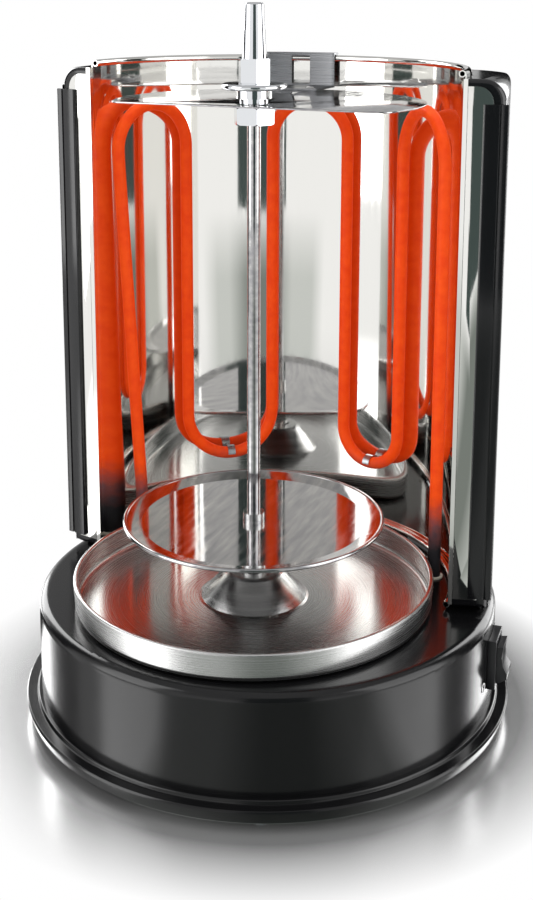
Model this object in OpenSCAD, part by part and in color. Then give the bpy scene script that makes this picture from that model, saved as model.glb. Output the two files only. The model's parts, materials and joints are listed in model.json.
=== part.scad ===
// Electric skewer grill, standing upright: a round black base with a gear motor,
// a half-round mirror reflector with a looped heater, a turning skewer and a drip tray.
// Millimetres. The origin is on the surface below the middle of the base, the front is -Y.

/* [Base] */
// Outer radius of the round base housing
base_r = 141.5; // [138:0.5:145]
// Height of the deck above the surface
deck_z = 75; // [72:1:80]
// Radius of the rounded shoulder of the base
shoulder_r = 6; // [4:0.5:8]
// Widest radius of the bottom pan
pan_r = 151; // [149:0.5:153]
// Height of the rubber feet
foot_h = 4; // [3:0.5:5]

/* [Drip tray] */
// How far the tray and the skewer stand in front of the middle of the base
drive_forward = 23.7; // [20:0.1:26]
// Outer radius of the drip tray
tray_r = 109; // [105:0.5:109.5]
// Height of the drip tray with its rolled rim
tray_h = 17.6; // [15:0.2:20]
// Height of the cone in the middle of the tray
cone_h = 17; // [14:0.5:18]

/* [Skewer] */
// Radius of the dished skewer plate
plate_r = 78.8; // [70:0.2:82]
// Height of the rim of the skewer plate above the surface
plate_z = 127.4; // [124:0.2:132]
// Diameter of the skewer shaft
shaft_d = 8; // [8:0.5:10]
// Height of the tip of the lifting handle above the surface
handle_top_z = 432; // [425:1:440]

/* [Reflector] */
// Radius of the middle of the rolled bead on the reflector
bead_r = 114.5; // [112:0.5:116]
// Outer diameter of the rolled bead
bead_d = 4; // [3:0.5:5]
// Height of the top of the reflector above the surface
rim_z = 396; // [390:1:400]
// Height of the holding plate above the surface
holder_z = 374.1; // [372:0.1:376]

/* [Sides] */
// Angle by which the side wings sweep back
wing_sweep = 13; // [10:1:20]
// Width of each grip bar
bar_w = 14; // [12:0.5:15]
// Depth of each grip bar
bar_d = 2; // [2:0.5:4]
// Outer radius of the side casings
casing_r = 139; // [137:0.5:141]

/* [Heater] */
// Diameter of the heater tube
heater_d = 8; // [6.5:0.5:9]
// Radius of the circle that the heater legs stand on
heater_r = 111; // [109:0.5:111.5]
// Angle by which the middle of the heater is turned from the back
heater_turn = 4; // [0:0.5:5]

/* [Switch] */
// Angle of the rocker switch from the right, towards the back
switch_angle = 3; // [0:1:6]
// Angle by which the rocker tips to either side
rocker_tip = 8; // [6:1:10]

/* [Hidden] */
$fn = 96;

black = "#17181a";
rubber_black = "#222222";
mirror_steel = "#d9dbdd";
brushed = "#b9bbbd";
chrome = "#e4e6e8";
brass = "#c9a558";
zinc = "#a8acb0";
ceramic = "#e9e4d6";
glow = "#e8481f";

touch = 0.05;                       // gap between faces of different bodies that rest on each other
run_gap = 0.05;                     // radial gap of a shaft in its bush
drive_at = [0, -drive_forward];

// Places a child on the skewer's axis
module on_drive(z = 0) { translate([drive_at[0], drive_at[1], z]) children(); }

// A plain ring on the Z axis
module ring(outer, inner, h) {
    difference() {
        cylinder(r = outer, h = h);
        translate([0, 0, -1]) cylinder(r = inner, h = h + 2);
    }
}

// Half section of a round block whose upper outer edge is rounded
module block_section(r, h, edge) {
    square([r - edge, h]);
    square([r, h - edge]);
    translate([r - edge, h - edge]) circle(edge);
}

// A pan head screw standing head down, its tip pointing up
module screw_up(shank_d, len, head_d, head_h) {
    difference() {
        union() {
            cylinder(d = shank_d, h = len);
            translate([0, 0, -head_h]) cylinder(d1 = head_d - 1, d2 = head_d, h = head_h);
        }
        for (a = [0, 90]) rotate(a) translate([-head_d / 4, -0.4, -head_h - 1])
            cube([head_d / 2, 0.8, 1.8]);
    }
}

// ---------- base ----------

wall_z = 15;                        // lower edge of the housing wall
sheet = 1.5;                        // thickness of the housing
pan_t = 2;
pan_low_r = pan_r - 2;
ledge_r = base_r + 2;               // small ledge of the pan below the housing wall
step_z = wall_z - 2.2;              // broad step outside the ledge
foot_ring_r = 122;
foot_angles = [45, 135, 225, 315];
lug_r = 133;
lug_angles = [20, 110, 200, 290];

module bottom_pan() color(black) {
    difference() {
        union() {
            rotate_extrude() polygon([
                [0, foot_h], [pan_low_r - 1.2, foot_h], [pan_low_r, foot_h + 1],
                [pan_r, step_z - 1.2], [pan_r - 0.8, step_z], [ledge_r + 0.8, step_z],
                [ledge_r + 0.5, wall_z - 0.6], [ledge_r - 0.1, wall_z], [base_r - 3, wall_z],
                [base_r - 3, wall_z - pan_t - 1], [ledge_r, wall_z - pan_t - 1],
                [ledge_r, step_z - pan_t], [pan_r - pan_t, step_z - pan_t],
                [pan_low_r - pan_t, foot_h + pan_t], [0, foot_h + pan_t]]);
            for (a = lug_angles) rotate(a) translate([lug_r, 0, foot_h + 1])
                cylinder(r = 4.5, h = wall_z - foot_h - 1);
        }
        for (a = lug_angles) rotate(a) translate([lug_r, 0, 0]) cylinder(d = 4.4, h = 30);
        for (a = foot_angles) rotate(a) translate([foot_ring_r, 0, 0]) cylinder(d = 5, h = 30);
        for (a = [0:15:345]) rotate(a) translate([58, -2, foot_h - 1]) cube([26, 4, pan_t + 2]);
        for (a = [0:30:330]) rotate(a) translate([30, -2, foot_h - 1]) cube([16, 4, pan_t + 2]);
    }
}

module rubber_feet() color(rubber_black) {
    for (a = foot_angles) rotate(a) translate([foot_ring_r, 0, 0]) {
        cylinder(r1 = 9, r2 = 10.5, h = foot_h);
        cylinder(d = 4.9, h = foot_h + pan_t);
        translate([0, 0, foot_h + pan_t]) cylinder(r1 = 3.8, r2 = 2.4, h = 2.2);
    }
}

module pan_screws() color(zinc) {
    for (a = lug_angles) rotate(a) translate([lug_r, 0, foot_h]) screw_up(3.9, 15, 7.5, 1.8);
}

heater_feet = [24, 164];            // where the heater passes the deck, in degrees
foot_r = [105, 106.5];              // and how far that is from the middle
bushing_r = 5;
stud_at = [-40, 96];
hanger_at = [[30, -66], [30, 62], [-66, 62], [-66, -66]];
casing_screw_at = [[127, 12], [104, 58]];
bracket_angles = [62, 118, 90];
bracket_r = bead_r + 8;
gland_z = 40;
switch_z = 46;
switch_w = 22;
switch_h = 31;

// Places a child at the switch, its X axis pointing out of the wall
module at_switch() { rotate(switch_angle) translate([base_r, 0, switch_z]) children(); }

module base_housing() color(black) {
    difference() {
        union() {
            translate([0, 0, wall_z]) rotate_extrude($fn = 180) difference() {
                block_section(base_r, deck_z - wall_z, shoulder_r);
                translate([0, -1]) block_section(base_r - sheet, deck_z - wall_z + 1 - sheet,
                    shoulder_r - sheet);
            }
            for (a = lug_angles) rotate(a) translate([lug_r - 7, -8, wall_z + touch])
                cube([base_r - sheet - lug_r + 7.6, 16, 2.5]);
        }
        on_drive(deck_z - 5) cylinder(r = 8, h = 10);
        for (a = lug_angles) rotate(a) translate([lug_r, 0, 10]) cylinder(d = 4, h = 12);
        for (i = [0, 1]) rotate(heater_feet[i]) translate([foot_r[i], 0, deck_z - 5])
            cylinder(r = bushing_r + 0.1, h = 10);
        for (p = hanger_at) translate([p[0], p[1], deck_z - 5]) cylinder(d = 4.2, h = 10);
        for (s = [-1, 1], p = casing_screw_at) translate([s * p[0], p[1], deck_z - 5])
            cylinder(d = 3.6, h = 10);
        for (a = bracket_angles) rotate(a) translate([bracket_r, 0, deck_z - 5])
            cylinder(d = 3.4, h = 10);
        at_switch() translate([-8, -(switch_w - 3) / 2, -(switch_h - 3) / 2])
            cube([16, switch_w - 3, switch_h - 3]);
        translate([0, base_r - 10, gland_z]) rotate([-90, 0, 0]) cylinder(r = 8, h = 20);
        translate([stud_at[0], stud_at[1], deck_z - 5]) cylinder(d = 4.1, h = 10);
    }
}

// Flanged cable entry at the back, with its clamping nut inside the wall
module inlet_gland() color(rubber_black) {
    translate([0, base_r, gland_z]) rotate([-90, 0, 0]) difference() {
        union() {
            translate([0, 0, -14]) cylinder(r = 7.9, h = 15);
            cylinder(r = 11, h = 3);
            translate([0, 0, 3]) cylinder(r1 = 9, r2 = 6.2, h = 8);
            translate([0, 0, -7]) cylinder(r = 11.5, h = 4.5, $fn = 6);
        }
        translate([0, 0, -20]) cylinder(r = 3.6, h = 40);
    }
}

module earth_stud() color(brass) translate([stud_at[0], stud_at[1], 0]) {
    translate([0, 0, deck_z - 14]) cylinder(d = 4, h = 13);
    translate([0, 0, deck_z - sheet - 3.2]) difference() {
        cylinder(r = 4, h = 3.2, $fn = 6);
        translate([0, 0, -1]) cylinder(d = 4, h = 6);
    }
}

// ---------- drip tray ----------

tray_z = deck_z + touch;
tray_t = 0.9;
rim_bead = 1.5;
cone_low_r = 33.5;
cone_top_r = 17;
cone_hole_r = 9.5;
cone_t = 1;

module drip_tray() color(brushed) on_drive(tray_z) difference() {
    rotate_extrude($fn = 180) {
        difference() {
            union() {
                square([tray_r - 5, 5]);
                translate([0, 4]) square([tray_r - 0.6, tray_h - 4 - rim_bead]);
                translate([tray_r - 4.6, 4]) circle(4);
                translate([tray_r - 2, tray_h - 5.5]) square([2, 4]);
            }
            translate([0, tray_t + 4]) square([tray_r - 0.6 - tray_t, tray_h]);
            translate([0, tray_t]) square([tray_r - 4.6, tray_h]);
            translate([tray_r - 4.6, tray_t + 3.1]) circle(3.1);
        }
        translate([tray_r - rim_bead, tray_h - rim_bead]) circle(rim_bead);
    }
    translate([0, 0, -1]) cylinder(r = cone_low_r - 6, h = 4);
}

// Raised cone that keeps what is in the tray out of the drive
module tray_cone() color(brushed) on_drive(tray_z + tray_t) rotate_extrude() polygon([
    [cone_low_r, 0], [cone_low_r - 1.5, 0.6], [cone_top_r + 1, cone_h - 1.4],
    [cone_top_r - 0.4, cone_h - 0.3], [cone_top_r - 1.6, cone_h], [cone_hole_r, cone_h],
    [cone_hole_r, cone_h - cone_t], [cone_top_r - 1.8, cone_h - cone_t],
    [cone_low_r - 4.2, 0]]);

// ---------- drive ----------

shaft_r = 4;
bush_flange_h = 2;
washer_h = 1;
dog_z = deck_z + bush_flange_h + washer_h;
dog_h = 12;
dog_r = 5.2;
gear_module = 1.2;
pinion_teeth = 10;
wheel_teeth = 50;
gear_centres = gear_module * (pinion_teeth + wheel_teeth) / 2;
idler_at = [drive_at[0], drive_at[1] + gear_centres];
motor_turn = 150;
motor_at = [idler_at[0] + gear_centres * cos(motor_turn),
    idler_at[1] + gear_centres * sin(motor_turn)];
lower_plate_z = 34;
gear1_z = 38;                       // motor pinion and large idler wheel
gear2_z = 45;                       // small idler pinion and output wheel
gear_w = 5;
gear_plate_t = 1.5;
upper_plate_z = 53;
tooth_play = 0.3;
pin_r = 2.5;                        // idler pin and motor shaft

// Involute tooth form: half the tooth's angle at radius r
function flank(teeth, r) =
    let (pitch_r = gear_module * teeth / 2, base = pitch_r * cos(20),
         a = acos(min(1, base / r)))
    90 / teeth - tooth_play / 2 / pitch_r * 180 / PI
        + (tan(20) * 180 / PI - 20) - (tan(a) * 180 / PI - a);

module toothed_wheel(teeth, width, addendum) {
    pitch_r = gear_module * teeth / 2;
    start_r = max(pitch_r * cos(20), pitch_r - gear_module * 1.3);
    tip_r = pitch_r + gear_module * addendum;
    radii = [pitch_r - gear_module * 1.3, start_r + 0.01, pitch_r + 0.1, tip_r];
    points = [for (i = [0 : teeth - 1], side = [-1, 1], k = [0 : 3])
        let (r = radii[side < 0 ? k : 3 - k],
             angle = i * 360 / teeth + side * flank(teeth, max(r, start_r)))
        [r * cos(angle), r * sin(angle)]];
    linear_extrude(width) polygon(points);
}

// Bores what it is given along the Z axis
module bored(r) {
    difference() {
        children();
        translate([0, 0, -100]) cylinder(r = r, h = 300);
    }
}

// Flanged bush that carries the drive shaft in the deck
module drive_bush() color(brass) on_drive() difference() {
    union() {
        translate([0, 0, deck_z - 10]) cylinder(r = 8, h = 10);
        translate([0, 0, deck_z]) cylinder(r = 11, h = bush_flange_h);
    }
    translate([0, 0, deck_z - 12]) cylinder(r = shaft_r + run_gap, h = 20);
}

module bush_nut() color(zinc) on_drive(deck_z - sheet - 5) difference() {
    cylinder(r = 13, h = 5, $fn = 6);
    translate([0, 0, -1]) cylinder(r = 8, h = 8);
}

module thrust_washer() color("#e8e6df") on_drive(deck_z + bush_flange_h)
    ring(7.5, shaft_r + 0.2, washer_h);

// Output shaft with the six-sided driver that turns the skewer
module drive_shaft() color(zinc) on_drive() {
    translate([0, 0, lower_plate_z - 2]) cylinder(r = 3, h = gear2_z - lower_plate_z + 2);
    translate([0, 0, gear2_z]) cylinder(r = shaft_r, h = dog_z - gear2_z);
    translate([0, 0, dog_z]) intersection() {
        cylinder(r = dog_r, h = dog_h, $fn = 6);
        cylinder(r1 = dog_r + 6, r2 = dog_r - 1, h = dog_h);
    }
}

module output_gear() color(brass) on_drive(gear2_z) rotate(90) {
    bored(shaft_r) {
        toothed_wheel(wheel_teeth, gear_w, 0.75);
        cylinder(r = 8, h = gear_w + 2);
    }
}

module idler_gear() color(brass) translate([idler_at[0], idler_at[1], 0]) bored(pin_r) {
    translate([0, 0, gear1_z]) rotate(motor_turn) toothed_wheel(wheel_teeth, gear_w, 0.75);
    translate([0, 0, gear1_z + 1]) cylinder(r = 4.2, h = gear2_z - gear1_z);
    translate([0, 0, gear2_z]) rotate(270 + 180 / pinion_teeth)
        toothed_wheel(pinion_teeth, gear_w, 1);
}

module idler_pin() color(zinc) translate([idler_at[0], idler_at[1], lower_plate_z])
    cylinder(r = pin_r - run_gap, h = upper_plate_z + gear_plate_t - lower_plate_z);

plate_low = [-72, -72];
plate_size = [108, 140];

module gearbox_plate_outline() {
    difference() {
        translate(plate_low) square(plate_size);
        for (p = hanger_at) translate(p) circle(d = 4.2);
    }
}

module gearbox_lower_plate() color(zinc) difference() {
    translate([0, 0, lower_plate_z]) linear_extrude(gear_plate_t) gearbox_plate_outline();
    on_drive(lower_plate_z - 1) cylinder(r = 3 + run_gap, h = 4);
    translate([idler_at[0], idler_at[1], lower_plate_z - 1]) cylinder(r = pin_r - run_gap, h = 4);
    translate([motor_at[0], motor_at[1], lower_plate_z - 1]) cylinder(r = 9, h = 4);
}

module gearbox_upper_plate() color(zinc) difference() {
    translate([0, 0, upper_plate_z]) linear_extrude(gear_plate_t) gearbox_plate_outline();
    on_drive(upper_plate_z - 1) cylinder(r = shaft_r + 0.6, h = 4);
    translate([idler_at[0], idler_at[1], upper_plate_z - 1]) cylinder(r = pin_r - run_gap, h = 4);
}

module gearbox_spacers() color(zinc) for (p = hanger_at)
    translate([p[0], p[1], lower_plate_z + gear_plate_t])
        ring(4, 2.1, upper_plate_z - lower_plate_z - gear_plate_t);

module hanger_posts() color(zinc) for (p = hanger_at)
    translate([p[0], p[1], upper_plate_z + gear_plate_t])
        ring(4.5, 2.1, deck_z - sheet - upper_plate_z - gear_plate_t);

module gearbox_screws() color(zinc) for (p = hanger_at)
    translate([p[0], p[1], lower_plate_z]) screw_up(4, deck_z - lower_plate_z - 0.2, 8, 2.4);

motor_r = 25;
motor_h = 19;

module motor_can() color(zinc) translate([motor_at[0], motor_at[1], lower_plate_z - motor_h])
    difference() {
        union() {
            cylinder(r = motor_r, h = motor_h - 1);
            translate([-motor_r - 9, -7, motor_h - 2]) cube([2 * motor_r + 18, 14, 2]);
        }
        translate([0, 0, 1.5]) cylinder(r = 15, h = motor_h - 4.5);
        translate([0, 0, motor_h - 6]) cylinder(r = pin_r + run_gap, h = 8);
    }

module motor_rotor() color("#5c4f47") translate([motor_at[0], motor_at[1], 0]) {
    translate([0, 0, lower_plate_z - motor_h + 3]) cylinder(r = 14, h = motor_h - 7);
    translate([0, 0, lower_plate_z - 4.5])
        cylinder(r = pin_r, h = gear1_z + gear_w - lower_plate_z + 4.5);
}

module motor_pinion() color(brass) translate([motor_at[0], motor_at[1], gear1_z])
    rotate(motor_turn + 180 + 180 / pinion_teeth) bored(pin_r)
        toothed_wheel(pinion_teeth, gear_w, 1);

// ---------- skewer ----------

hub_z = dog_z + touch;
hub_r = 8;
hub_top_z = plate_z - 5.9;
plate_floor_z = plate_z - 3.9;
skewer_r = shaft_d / 2;
holder_t = 1;
nut_h = 10;
nut_z = holder_z - 0.4 - nut_h;
collar_z = holder_z + holder_t + 0.4;
disc_z = collar_z + 8.1;
hex_z = disc_z + 3.4;
handle_z = hex_z + 14;
handle_step_z = handle_z + 16;

module spindle_hub() color(brushed) on_drive() difference() {
    union() {
        translate([0, 0, hub_z]) cylinder(r = hub_r, h = hub_top_z - hub_z);
        translate([0, 0, hub_top_z]) cylinder(r = 14, h = plate_floor_z - hub_top_z);
        translate([0, 0, hub_top_z - 4]) cylinder(r1 = hub_r, r2 = 12, h = 4);
    }
    translate([0, 0, hub_z - 1]) cylinder(r = dog_r + 0.25, h = dog_h + 2, $fn = 6);
    translate([0, 0, hub_z + 10]) cylinder(r = skewer_r, h = 60);
}

// Dished plate with a rolled lip
module skewer_plate() color(mirror_steel) on_drive(plate_floor_z) difference() {
    rotate_extrude($fn = 180) {
        polygon([[0, 0], [plate_r - 11, 0], [plate_r - 1.3, 2.2], [plate_r - 1.7, 3.4],
            [plate_r - 11.3, 1.1], [0, 1.1]]);
        translate([plate_r - 1.3, 2.6]) circle(1.3);
    }
    translate([0, 0, -1]) cylinder(r = skewer_r, h = 10);
}

module plate_collar() color(zinc) on_drive(plate_floor_z + 1.1) ring(6.5, skewer_r, 5);

module spindle_shaft() color(chrome) on_drive(hub_z + 13.2)
    cylinder(r = skewer_r, h = handle_z + 8 - hub_z - 13.2);

// A hexagon with chamfered corners
module chamfered_hex(across, h, cut) {
    intersection() {
        cylinder(r = across / sqrt(3), h = h, $fn = 6);
        cylinder(r1 = across / 2 + cut, r2 = across / 2 + cut + h, h = h);
        cylinder(r1 = across / 2 + cut + h, r2 = across / 2 + cut, h = h);
    }
}

module clamp_nut() color(chrome) on_drive(nut_z) difference() {
    chamfered_hex(21.4, nut_h, 0.8);
    translate([0, 0, -1]) cylinder(r = skewer_r, h = 20);
}

module shaft_collar() color(chrome) on_drive(collar_z) difference() {
    union() {
        cylinder(r = 8.2, h = 3);
        translate([0, 0, 3]) cylinder(r = 10.3, h = 5.1);
    }
    translate([0, 0, -1]) cylinder(r = skewer_r, h = 20);
}

module washer_disc() color(chrome) on_drive(disc_z) difference() {
    rotate_extrude() {
        square([17.2, 3.4]);
        translate([17.1, 1.7]) circle(1.7);
    }
    translate([0, 0, -1]) cylinder(r = skewer_r, h = 20);
}

module hex_shoulder() color(chrome) on_drive(hex_z) difference() {
    chamfered_hex(16.6, 14, 0.9);
    translate([0, 0, -1]) cylinder(r = skewer_r, h = 20);
}

module lift_handle() color(chrome) on_drive() difference() {
    union() {
        translate([0, 0, handle_z]) cylinder(r1 = 6.9, r2 = 6.3, h = handle_step_z - handle_z);
        translate([0, 0, handle_step_z])
            cylinder(r1 = 6.0, r2 = 5.6, h = handle_top_z - handle_step_z - 1);
        translate([0, 0, handle_top_z - 1]) cylinder(r1 = 5.6, r2 = 4.8, h = 1);
    }
    translate([0, 0, handle_z - 1]) cylinder(r = skewer_r, h = 9);
}

// ---------- holding plate on the reflector rim ----------

holder_r = bead_r - bead_d / 2 - 20.5;
holder_front = 40;
tip_r = 8;
hook_turn = 10.5;                   // the hook stands left of the back
hook_span = 23.4;
hook_t = 1.2;
hook_in_r = bead_r - bead_d / 2 - 0.4;
hook_out_r = bead_r + bead_d / 2 + 0.8;
hook_top_z = rim_z + 0.3;

module holding_plate() color(mirror_steel) translate([0, 0, holder_z]) difference() {
    tip_at = [sqrt(pow(holder_r - tip_r, 2) - pow(holder_front - tip_r, 2)), tip_r - holder_front];
    join_y = tip_at[1] * holder_r / (holder_r - tip_r);
    linear_extrude(holder_t) {
        intersection() {
            circle(holder_r, $fn = 180);
            translate([-holder_r, join_y]) square([2 * holder_r, 2 * holder_r]);
        }
        translate([-tip_at[0], -holder_front]) square([2 * tip_at[0], holder_front + join_y + 1]);
        for (s = [-1, 1]) translate([s * tip_at[0], tip_at[1]]) circle(tip_r);
    }
    on_drive(-1) cylinder(r = skewer_r + 2.5, h = 5);
    rotate(90 + hook_turn) for (s = [-1, 1]) rotate(s * 7) translate([holder_r - 7, 0, -1])
        cylinder(r = 2, h = 5);
}

module rim_hook() color(brushed) rotate(90 + hook_turn - hook_span / 2) difference() {
    rotate_extrude(angle = hook_span, $fn = 180) {
        translate([holder_r - 14, holder_z + holder_t])
            square([hook_in_r - holder_r + 14, hook_t]);
        translate([hook_in_r - hook_t, holder_z + holder_t])
            square([hook_t, hook_top_z + hook_t - holder_z - holder_t]);
        translate([hook_in_r - hook_t, hook_top_z])
            square([hook_out_r - hook_in_r + 2 * hook_t, hook_t]);
        translate([hook_out_r, hook_top_z - 9]) square([hook_t, 9 + hook_t]);
    }
    rotate(8.6) rotate_extrude(angle = 6.2) translate([hook_in_r - 6, holder_z + 3])
        square([9, hook_top_z - holder_z - 4]);
    for (s = [-1, 1]) rotate(hook_span / 2 + s * 7) translate([holder_r - 7, 0, holder_z])
        cylinder(r = 2, h = 5);
}

module hook_rivets() color(zinc) rotate(90 + hook_turn) for (s = [-1, 1]) rotate(s * 7)
    translate([holder_r - 7, 0, holder_z - 0.8]) {
        cylinder(r = 2, h = holder_t + hook_t + 1.6);
        cylinder(r = 3.4, h = 0.8);
        translate([0, 0, 0.8 + holder_t + hook_t]) cylinder(r1 = 3.4, r2 = 2.2, h = 1);
    }

// ---------- reflector ----------

skin = 0.6;
skin_r = bead_r + bead_d / 2 + 0.4; // outer face of the reflector sheet, outside its beads
low_bead_z = deck_z + bead_d / 2 + 1.4;
top_bead_z = rim_z - bead_d / 2;
hem_d = 3.8;                        // depth of the folded hem along the front edges
wing_from = [bead_r + 4.3, -hem_d];

module bead_section(z) {
    translate([bead_r, z]) difference() {
        circle(bead_d / 2);
        circle(bead_d / 2 - 0.6);
    }
}

module reflector() color(mirror_steel) {
    rotate_extrude(angle = 180, $fn = 180) {
        translate([skin_r - skin, low_bead_z]) square([skin, top_bead_z - low_bead_z]);
        bead_section(low_bead_z);
        bead_section(top_bead_z);
    }
    for (s = [-1, 1])
        translate([s > 0 ? skin_r - skin : -wing_from[0], -hem_d, low_bead_z + 2.5])
            cube([wing_from[0] - skin_r + skin, hem_d, top_bead_z - low_bead_z - 5]);
}

// Angle brackets that screw the reflector to the deck
module reflector_brackets() color(zinc) for (a = bracket_angles) rotate(a) difference() {
    union() {
        translate([skin_r + 0.3, -9, deck_z]) cube([13.4, 18, 1.5]);
        translate([skin_r + 0.3, -9, deck_z]) cube([1.5, 18, 16]);
    }
    translate([bracket_r, 0, deck_z - 1]) cylinder(d = 3.4, h = 4);
}

module bracket_screws() color(zinc) for (a = bracket_angles) rotate(a)
    translate([bracket_r, 0, deck_z + 1.5]) mirror([0, 0, 1]) screw_up(3.4, 9, 6, 1.8);

// ---------- sides ----------

wing_w = 14.3;
wing_t = 0.8;
wing_corner = 9;
wing_in = wing_t * tan(wing_sweep) + touch;       // clear of the reflector's hem
wing_low_z = deck_z + 9.5;
wing_top_z = rim_z - 8.5;
bar_low_z = deck_z + 11;
bar_top_z = rim_z - 18.2;
bar_from = 9;
bar_edge = 0.9;
bar_screw_x = bar_from + 2.7;       // the bar reaches out past the wing
casing_low_z = deck_z + 4;
casing_top_z = rim_z - 4.5;
casing_corner = 12.6;
casing_t = 2;
casing_in_r = skin_r + 0.6;
turn_at = 22;                       // where the casing's back starts to curve in
turn_d = 93;
turn_r = casing_r - turn_d;
bar_screw_z = [bar_low_z + 30, bar_top_z - 30];

// Side pieces are drawn for the right and mirrored to the left
module on_side(s) { mirror([s < 0 ? 1 : 0, 0, 0]) children(); }

// Frame of the swept wing: X runs outwards along it, Y points to the back
module on_wing(z = 0) { translate([wing_from[0], wing_from[1], z]) rotate(wing_sweep) children(); }

module wing_plate(s) color(mirror_steel) on_side(s) on_wing() difference() {
    rotate([90, 0, 0]) translate([0, 0, -wing_t]) linear_extrude(wing_t) {
        translate([wing_in, wing_low_z])
            square([wing_w - wing_in, wing_top_z - wing_low_z - wing_corner]);
        translate([wing_in, wing_low_z])
            square([wing_w - wing_corner - wing_in, wing_top_z - wing_low_z]);
        intersection() {
            translate([wing_w - wing_corner, wing_top_z - wing_corner]) circle(wing_corner);
            translate([wing_in, wing_low_z]) square([wing_w, wing_top_z - wing_low_z]);
        }
    }
    for (z = bar_screw_z) translate([bar_screw_x, -1, z]) rotate([-90, 0, 0])
        cylinder(d = 3.4, h = 4);
}

module wing_plate_left() wing_plate(-1);
module wing_plate_right() wing_plate(1);

// Angle at which the casing's front face meets a circle about the middle of the base
function front_angle(r, front) = wing_sweep + asin((front
    + wing_from[1] * cos(wing_sweep) - wing_from[0] * sin(wing_sweep)) / r);

function arc(centre, r, from, to, steps) = [for (i = [0 : steps])
    let (a = from + (to - from) * i / steps) centre + r * [cos(a), sin(a)]];

// Plan of the casing: the front face, the outer round, the curve into the reflector and back
module casing_plan(in_r, out_r, back_r, front) {
    middle = turn_d * [cos(turn_at), sin(turn_at)];
    meet = turn_at + acos((in_r * in_r + turn_d * turn_d - back_r * back_r) / (2 * in_r * turn_d));
    end = in_r * [cos(meet), sin(meet)] - middle;
    polygon(concat(
        arc([0, 0], out_r, front_angle(out_r, front), turn_at, 12),
        arc(middle, back_r, turn_at + 3, atan2(end[1], end[0]), 24),
        arc([0, 0], in_r, meet - 1.5, front_angle(in_r, front), 20)));
}

// Front outline of the casing, cut back by an inset on every side
module casing_front(inset, low) {
    edge_x = casing_r - inset;
    corner = casing_corner - inset;
    translate([100, low]) square([edge_x - 100, casing_top_z - casing_corner - low]);
    translate([100, low]) square([edge_x - corner - 100, casing_top_z - inset - low]);
    translate([edge_x - corner, casing_top_z - casing_corner]) circle(corner);
}

module casing_block(in_r, out_r, back_r, front, inset, low) {
    intersection() {
        translate([0, 0, low - 1]) linear_extrude(casing_top_z - low + 2)
            casing_plan(in_r, out_r, back_r, front);
        translate([0, 150, 0]) rotate([90, 0, 0]) linear_extrude(200) casing_front(inset, low);
    }
}

module side_casing(s) color(black) on_side(s) difference() {
    union() {
        casing_block(casing_in_r, casing_r, turn_r, wing_t + 0.05, 0, casing_low_z);
        translate([0, 0, deck_z]) linear_extrude(casing_low_z - deck_z + 0.1)
            casing_plan(casing_in_r + 1, casing_r - 5, turn_r - 4, 8);
    }
    casing_block(casing_in_r - 3, casing_r - casing_t, turn_r - casing_t, wing_t + casing_t,
        casing_t, casing_low_z + casing_t);
    translate([100, -10, deck_z]) cube([wing_from[0] + touch - 100, 10 + touch, casing_top_z]);
    for (p = casing_screw_at) translate([p[0], p[1], deck_z - 1]) cylinder(d = 3.4, h = 8);
    on_wing() for (z = bar_screw_z) translate([bar_screw_x, -1, z])
        rotate([-90, 0, 0]) cylinder(d = 3.4, h = 8);
}

module side_casing_left() side_casing(-1);
module side_casing_right() side_casing(1);

// Rounded bar with a long groove near its outer edge
module grip_bar(s) color(black) on_side(s) on_wing() difference() {
    translate([bar_from, -bar_d, bar_low_z]) linear_extrude(bar_top_z - bar_low_z) {
        difference() {
            union() {
                translate([bar_edge, 0]) square([bar_w - 2 * bar_edge, bar_d - touch]);
                translate([0, bar_edge]) square([bar_w, bar_d - touch - bar_edge]);
                for (x = [bar_edge, bar_w - bar_edge]) translate([x, bar_edge]) circle(bar_edge);
            }
            translate([bar_w - 5.2, -1]) square([1.2, 1.8]);
        }
    }
    for (z = bar_screw_z) translate([bar_screw_x, 1 - bar_d, z]) rotate([-90, 0, 0])
        cylinder(d = 3, h = 8);
}

module grip_bar_left() grip_bar(-1);
module grip_bar_right() grip_bar(1);

module grip_screws() color(zinc) for (s = [-1, 1]) on_side(s) on_wing()
    for (z = bar_screw_z) translate([bar_screw_x, casing_t + wing_t, z])
        rotate([90, 0, 0]) screw_up(3, casing_t + wing_t + bar_d - 1.2, 5.5, 1.8);

module casing_screws() color(zinc) for (s = [-1, 1], p = casing_screw_at)
    translate([s * p[0], p[1], deck_z - sheet]) screw_up(3.4, 8, 6, 1.8);

// ---------- heater ----------

heater_top_z = rim_z - 30;          // middle of the tube at the top of its loops
heater_low_z = 122;                 // middle of the tube at the bottom bends
heater_foot_z = 58;
heater_lean_z = 112;                // the outer legs stand upright up to here, clear of the tray
heater_middle = 90 + heater_turn;
heater_sides = 12;
bend_steps = 10;
leg_steps = 3;                      // a straight leg turns its section in this many steps
leg_at = [-70, -33.6, -10.5, 16.1, 47, 76.5];     // degrees from the middle of the heater

function unit(a) = [cos(a), sin(a), 0];
function bend_half(k) = (leg_at[k + 1] - leg_at[k]) / 2;
function bend_angle(k) = heater_middle + (leg_at[k + 1] + leg_at[k]) / 2;
function leg_place(k) = (k == 0 ? foot_r[0] : heater_r) * unit(heater_middle + leg_at[k]);
function bend_span(k) = leg_place(k + 1) - leg_place(k);
function bend_r(k) = norm(bend_span(k)) / 2;
function bend_along(k) = bend_span(k) / norm(bend_span(k));
function bend_out(k) = cross(bend_along(k), [0, 0, 1]);
function bend_dir(k) = k % 2 == 0 ? 1 : -1;       // even bends are at the top
function bend_z(k) = k % 2 == 0 ? heater_top_z - bend_r(k) : heater_low_z + bend_r(k);

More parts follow.
